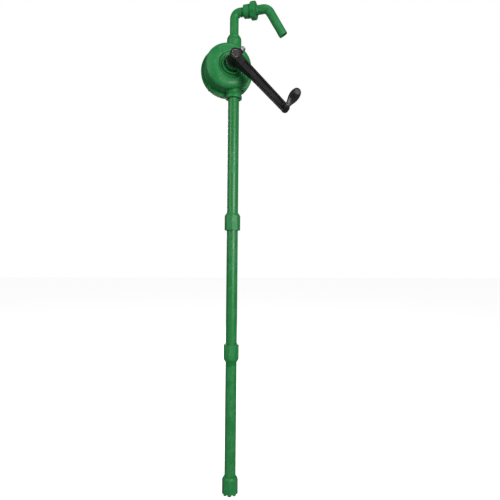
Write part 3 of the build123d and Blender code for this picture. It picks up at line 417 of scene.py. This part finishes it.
nylon, tree, shader = new_finish("machined_nylon", IOR=1.53, Subsurface_Weight=0.08)
shader.inputs["Subsurface Radius"].default_value = (0.002, 0.0018, 0.0012)
mould = use_effect(tree, skin, Grain_Scale=1800.0, Wave_Scale=110.0, Wave_Share=0.3)
tool_rings = add_node(tree, "TexWave", Vector=own_coordinates(tree), Scale=420.0, Distortion=0.4, Detail=2.0)
tree.links.new(tint(tree, mould["Clouds"], (0.50, 0.48, 0.40), (0.66, 0.64, 0.56)),
               shader.inputs["Base Color"])
tree.links.new(ramp(tree, tool_rings.outputs["Fac"], 0.0, 1.0, 0.38, 0.52), shader.inputs["Roughness"])
relief(tree, shader, calc(tree, "ADD", tool_rings.outputs["Fac"], mould["Height"]), 0.00003)
for node in ("rotor", "vane_upper", "vane_lower"):
    refinish(node, nylon)
for node in ("rotor_pin", "vane_springs_upper", "vane_springs_lower"):
    refinish(node, zinc)

# ---- Drive shaft ----
# Ground steel bar, darkened by oil, with a flat where the set screw bears.

oiled_bar, tree, shader = new_finish("oiled_ground_bar", Metallic=1.0)
grinding = add_node(tree, "TexNoise", Vector=own_coordinates(tree, (0.15, 1.0, 0.15)), Scale=3200.0,
                    Detail=2.0)
film = add_node(tree, "TexNoise", Vector=own_coordinates(tree), Scale=260.0, Detail=5.0, Roughness=0.65)
film_mask = ramp(tree, film.outputs["Fac"], 0.35, 0.65)
tree.links.new(tint(tree, film_mask, (0.055, 0.045, 0.042), (0.11, 0.095, 0.09)),
               shader.inputs["Base Color"])
tree.links.new(ramp(tree, grinding.outputs["Fac"], 0.3, 0.7, 0.28, 0.46), shader.inputs["Roughness"])
relief(tree, shader, grinding.outputs["Fac"], 0.00002)
refinish("drive_shaft", oiled_bar)

# ---- Crank arm ----
# Cast in one with its hub and the boss for the set screw, channelled along its front, and dipped in satin
# black paint that is thin on the edges. The lighter edges are also partly a painted highlight line.

black_paint, tree, shader = new_finish("black_casting_paint", IOR=1.5, Specular_IOR_Level=0.16)
mould = use_effect(tree, skin, Grain_Scale=1500.0, Wave_Scale=190.0, Wave_Share=0.3)
worn_and_highlit_edges = use_effect(tree, wear_and_highlight, Start=0.52, Full=0.58, Patch_Scale=230.0)
marks = use_effect(tree, scuffs, Line_Scale=170.0, Cover=0.52)
dusty = use_effect(tree, dust, Amount=0.05)
colour = tint(tree, mould["Clouds"], (0.006, 0.006, 0.0065), (0.011, 0.011, 0.0115))
# Lighter edges: paint worn thin, and partly a painted highlight along the arm's edges and channel lips.
colour = tint(tree, calc(tree, "MULTIPLY", worn_and_highlit_edges["Mask"], 0.35), colour, (0.07, 0.07, 0.075))
colour = tint(tree, calc(tree, "MULTIPLY", marks["Mask"], 0.2), colour, (0.06, 0.06, 0.065))
tree.links.new(tint(tree, dusty["Mask"], colour, (0.22, 0.21, 0.20)), shader.inputs["Base Color"])
tree.links.new(ramp(tree, mould["Gloss"], 0.0, 1.0, 0.46, 0.6), shader.inputs["Roughness"])
relief(tree, shader, mould["Height"], 0.00018)
show_piece("crank_casting", even_skin("crank", "crank_arm", 0.6 * mm, 3), black_paint,
           "crank", "crank_arm")

# ---- Retaining ring and hub washer ----
# A bright pressed ring holds the arm on the shaft's end, and a plain washer lies behind the hub. Both are
# turned shapes on the shaft's axis.


def turned(outline, steps=96, rounding=0.0):
    """Spin a closed outline of (radius, height) points round the Z axis, its corners rounded first."""
    bm = bmesh.new()
    corners = [bm.verts.new((radius, 0, height)) for radius, height in outline]
    section = bm.faces.new(corners)
    if rounding:
        off_axis = [corner for corner in corners if corner.co.x > 0]
        bmesh.ops.bevel(bm, geom=off_axis, offset=rounding, segments=3, profile=0.5, affect="VERTICES",
                        material=-1)
        section = bm.faces[:][0]
    bmesh.ops.delete(bm, geom=[section], context="FACES_ONLY")
    bmesh.ops.spin(bm, geom=bm.verts[:] + bm.edges[:], cent=(0, 0, 0), axis=(0, 0, 1), angle=2 * pi,
                   steps=steps, use_merge=True)
    bmesh.ops.remove_doubles(bm, verts=bm.verts, dist=0.001 * mm)
    on_axis = [edge for edge in bm.edges if not edge.link_faces]
    bmesh.ops.delete(bm, geom=on_axis, context="EDGES")
    bmesh.ops.recalc_face_normals(bm, faces=bm.faces)
    return bm


def seated(bm, centre, along, first=(0, 0, 1)):
    """Stand a turned piece on a point, its axis along one direction and its first corner towards another."""
    along, first = Vector(along).normalized(), Vector(first).normalized()
    heading = Matrix((first, along.cross(first), along)).transposed().to_4x4()
    bmesh.ops.transform(bm, matrix=Matrix.Translation(centre) @ heading, verts=bm.verts)
    return bm


ring_low, ring_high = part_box("retaining_ring")
shaft_x, shaft_z = (ring_low.x + ring_high.x) / 2, (ring_low.z + ring_high.z) / 2
ring_reach, ring_depth = (ring_high.x - ring_low.x) / 2, ring_high.y - ring_low.y
ring_bore, ring_dish = 7.5 * mm, ring_depth - 0.9 * mm
ring_outline = [(ring_bore, 0), (ring_reach, 0), (ring_reach, ring_depth - 0.4 * mm),
                (ring_reach - 0.3 * mm, ring_depth), (ring_reach - 0.65 * mm, ring_depth),
                (7.6 * mm, ring_dish), (ring_bore, ring_dish)]
show_piece("hub_retaining_ring",
           seated(turned(ring_outline, rounding=0.12 * mm), (shaft_x, ring_high.y, shaft_z), (0, -1, 0)),
           zinc, "crank", "retaining_ring")
refinish("hub_washer", zinc)

# ---- Set screw, lock nut and grip nut ----
# Zinc-plated hexagons with turned corners. The set screw stands square to the arm in the hub's boss, with
# its lock nut on the boss, and the grip's pin is held by a nut behind the arm.

joints = {joint["name"]: joint for joint in frame["record"]["behaviour"]["joints"]}
arm_pivot = Vector(joints["grip_spin"]["pos_m"])
arm_way = Vector((arm_pivot.x - shaft_x, 0, arm_pivot.z - shaft_z)).normalized()
screw_way = Vector((-arm_way.z, 0, arm_way.x))


def cut_flats(bm, sides, flat_reach, blend):
    """Pull a turned blank in to a polygon's flats, with its first corner on X and softly blended corners."""
    for v in bm.verts:
        reach = max(hypot(v.co.x, v.co.y), 0.001 * mm)
        step = 2 * pi / sides
        limit = flat_reach / cos(atan2(v.co.y, v.co.x) % step - step / 2)
        overlap = max(blend - abs(reach - limit), 0) / blend
        pulled = min(reach, limit) - overlap * overlap * blend / 4
        v.co.x *= pulled / reach
        v.co.y *= pulled / reach
    return bm


def nut_outline(bore, corner_reach, height, low_cut, high_cut, slope, runs=6):
    """Outline of a bored blank whose outer corners are turned off at both ends, in short runs."""
    outline = [(bore, 0)]
    for run in range(runs + 1):
        outline.append((corner_reach - slope * low_cut * (1 - run / runs), low_cut * run / runs))
    for run in range(runs + 1):
        outline.append((corner_reach - slope * high_cut * run / runs,
                        height - high_cut * (1 - run / runs)))
    return outline + [(bore, height)]


hex_flat = 5.0 * mm
hex_corner = hex_flat / cos(pi / 6)
hex_blend, hex_slope, thread_reach = 0.15 * mm, 1.1, 3.0 * mm
nut_y = sum(corner.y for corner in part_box("lock_nut")) / 2
boss_top, lock_height = 20.5 * mm, 4.2 * mm
head_start, head_height = boss_top + lock_height + 0.6 * mm, 4.6 * mm
head_top, head_dish = head_start + head_height, 0.4 * mm
screw_tip, tip_reach, tip_shoulder = 6.75 * mm, 2.2 * mm, 7.6 * mm
screw_foot = Vector((shaft_x, nut_y, shaft_z))
lock_blank = turned(nut_outline(thread_reach, hex_corner, lock_height, 0.7 * mm, 0.7 * mm, hex_slope))
show_piece("screw_lock_nut",
           seated(cut_flats(lock_blank, 6, hex_flat, hex_blend),
                  screw_foot + screw_way * boss_top, screw_way, arm_way),
           zinc, "crank", "lock_nut")
head_outline = [(reach, head_start + height)
                for reach, height in nut_outline(thread_reach, hex_corner, head_height, 0.3 * mm, 0.9 * mm,
                                                 hex_slope)]
screw_outline = [(0, screw_tip), (tip_reach, screw_tip), (thread_reach, tip_shoulder), *head_outline[:-1],
                 (3.2 * mm, head_top), (2.9 * mm, head_top - head_dish), (0, head_top - head_dish)]
show_piece("hub_set_screw",
           seated(cut_flats(turned(screw_outline), 6, hex_flat, hex_blend), screw_foot, screw_way, arm_way),
           zinc, "crank", "set_screw")
grip_nut_low, grip_nut_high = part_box("grip_nut")
grip_nut_blank = turned(nut_outline(thread_reach, hex_corner, grip_nut_high.y - grip_nut_low.y,
                                    0.2 * mm, 0.8 * mm, hex_slope))
show_piece("pin_nut",
           seated(cut_flats(grip_nut_blank, 6, hex_flat, hex_blend),
                  (arm_pivot.x, grip_nut_low.y, arm_pivot.z), (0, 1, 0), (1, 0, 0)),
           zinc, "crank", "grip_nut")
for node in ("grip_pin", "grip_washer"):
    refinish(node, zinc)

# ---- Grip ----
# Matt black moulded handle that turns freely on its pin, closed by a small cap at its tip.

grip_plastic, tree, shader = new_finish("black_grip_plastic", IOR=1.48, Specular_IOR_Level=0.45)
mould = use_effect(tree, skin, Grain_Scale=1100.0, Wave_Scale=160.0, Wave_Share=0.3)
marks = use_effect(tree, scuffs, Line_Scale=150.0, Cover=0.5)
dusty = use_effect(tree, dust, Amount=0.05)
colour = tint(tree, mould["Clouds"], (0.008, 0.008, 0.0085), (0.014, 0.014, 0.0145))
colour = tint(tree, calc(tree, "MULTIPLY", marks["Mask"], 0.25), colour, (0.07, 0.07, 0.07))
tree.links.new(tint(tree, dusty["Mask"], colour, (0.24, 0.23, 0.22)), shader.inputs["Base Color"])
tree.links.new(ramp(tree, mould["Gloss"], 0.0, 1.0, 0.42, 0.58), shader.inputs["Roughness"])
relief(tree, shader, mould["Height"], 0.00025)
for node in ("grip", "grip_cap"):
    refinish(node, grip_plastic)

# ---- Riser, union and spout ----
# Green half-inch pipework moulded in polypropylene: the riser turns in the body's top socket, and an
# octagonal nut clamps the spout's flange to the riser's face through a flat gasket.

show_piece("riser_moulding", even_skin("riser", "riser_elbow", 0.7 * mm, 3), green_moulding,
           "outlet_riser", "riser_elbow")
show_piece("spout_moulding", even_skin("spout_skin", "spout", 0.7 * mm, 3), green_moulding,
           "spout_tube", "spout")

outlet_way = Vector(joints["spout_swivel"]["axis"])
elbow_height = joints["spout_swivel"]["pos_m"][2]
nut_start, nut_length, nut_corner = 42.4 * mm, 12.4 * mm, 21.3 * mm
nut_flat = nut_corner * cos(pi / 8)
across_nut = outlet_way.cross(Vector((0, 0, 1)))
nut_first_corner = Vector((0, 0, 1)) * cos(pi / 8) + across_nut * sin(pi / 8)
nut_bore, pipe_hole, end_wall = 14.3 * mm, 11.9 * mm, nut_length - 2.4 * mm
moulded_blend = 0.5 * mm
nut_blank_outline = nut_outline(nut_bore, nut_corner, nut_length, 1.2 * mm, 1.6 * mm, 1.0)
nut_blank_outline[-1:] = [(pipe_hole, nut_length), (pipe_hole, end_wall), (nut_bore, end_wall)]
show_piece("octagonal_union_nut",
           seated(cut_flats(turned(nut_blank_outline), 8, nut_flat, moulded_blend),
                  Vector((0, 0, elbow_height)) + outlet_way * nut_start, outlet_way, nut_first_corner),
           green_moulding, "union_ring", "union_nut")

# ---- Suction tube, couplings and foot ----
# Three equal extruded tubes, screwed together in octagonal moulded sockets on rubber rings. The last socket
# is the foot, notched round its rim, with a mesh disc inside.

green_tube, tree, shader = new_finish("green_extrusion", IOR=1.49, Specular_IOR_Level=0.4)
mould = use_effect(tree, skin, Grain_Scale=1500.0, Wave_Scale=60.0, Wave_Share=0.6)
marks = use_effect(tree, scuffs, Line_Scale=110.0, Cover=0.52)
die_lines = add_node(tree, "TexNoise", Vector=own_coordinates(tree, (1, 1, 0.012)), Scale=520.0, Detail=4.0,
                     Roughness=0.6)
colour = tint(tree, mould["Clouds"], (0.0115, 0.176, 0.038), (0.0130, 0.190, 0.042))
colour = tint(tree, ramp(tree, die_lines.outputs["Fac"], 0.55, 0.75, 0.0, 0.15), colour, (0.03, 0.25, 0.08))
colour = tint(tree, calc(tree, "MULTIPLY", marks["Mask"], 0.25), colour, (0.08, 0.33, 0.15))
tree.links.new(colour, shader.inputs["Base Color"])
tree.links.new(calc(tree, "ADD", ramp(tree, mould["Gloss"], 0.0, 1.0, 0.26, 0.36),
                    calc(tree, "MULTIPLY", marks["Mask"], 0.25)), shader.inputs["Roughness"])
half_lines = calc(tree, "MULTIPLY", die_lines.outputs["Fac"], 0.5)
relief(tree, shader, calc(tree, "ADD", half_lines, mould["Height"]), 0.0002)
for node in ("suction_tube_upper", "suction_tube_middle", "suction_tube_lower"):
    refinish(node, green_tube)
socket_corner, socket_bore = 18.9 * mm, 13.35 * mm
socket_flat = socket_corner * cos(pi / 8)
for node, low_cut, high_cut, corner_angle in (("coupling_upper", 0.6 * mm, 7 * mm, 260),
                                              ("coupling_lower", 7 * mm, 1.5 * mm, 247.5)):
    socket_low, socket_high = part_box(node)
    socket_blank = turned(nut_outline(socket_bore, socket_corner, socket_high.z - socket_low.z,
                                      low_cut, high_cut, 0.6, runs=10))
    first_corner = (cos(radians(corner_angle)), sin(radians(corner_angle)), 0)
    show_piece(node.replace("coupling", "socket"),
               seated(cut_flats(socket_blank, 8, socket_flat, moulded_blend),
                      (0, 0, socket_low.z), (0, 0, 1), first_corner),
               green_moulding, "pump_head", node)
refinish("strainer_screen", grip_plastic)
show_piece("foot_moulding", even_skin("foot", "foot_strainer", 0.55 * mm, 3), green_moulding,
           "pump_head", "foot_strainer")
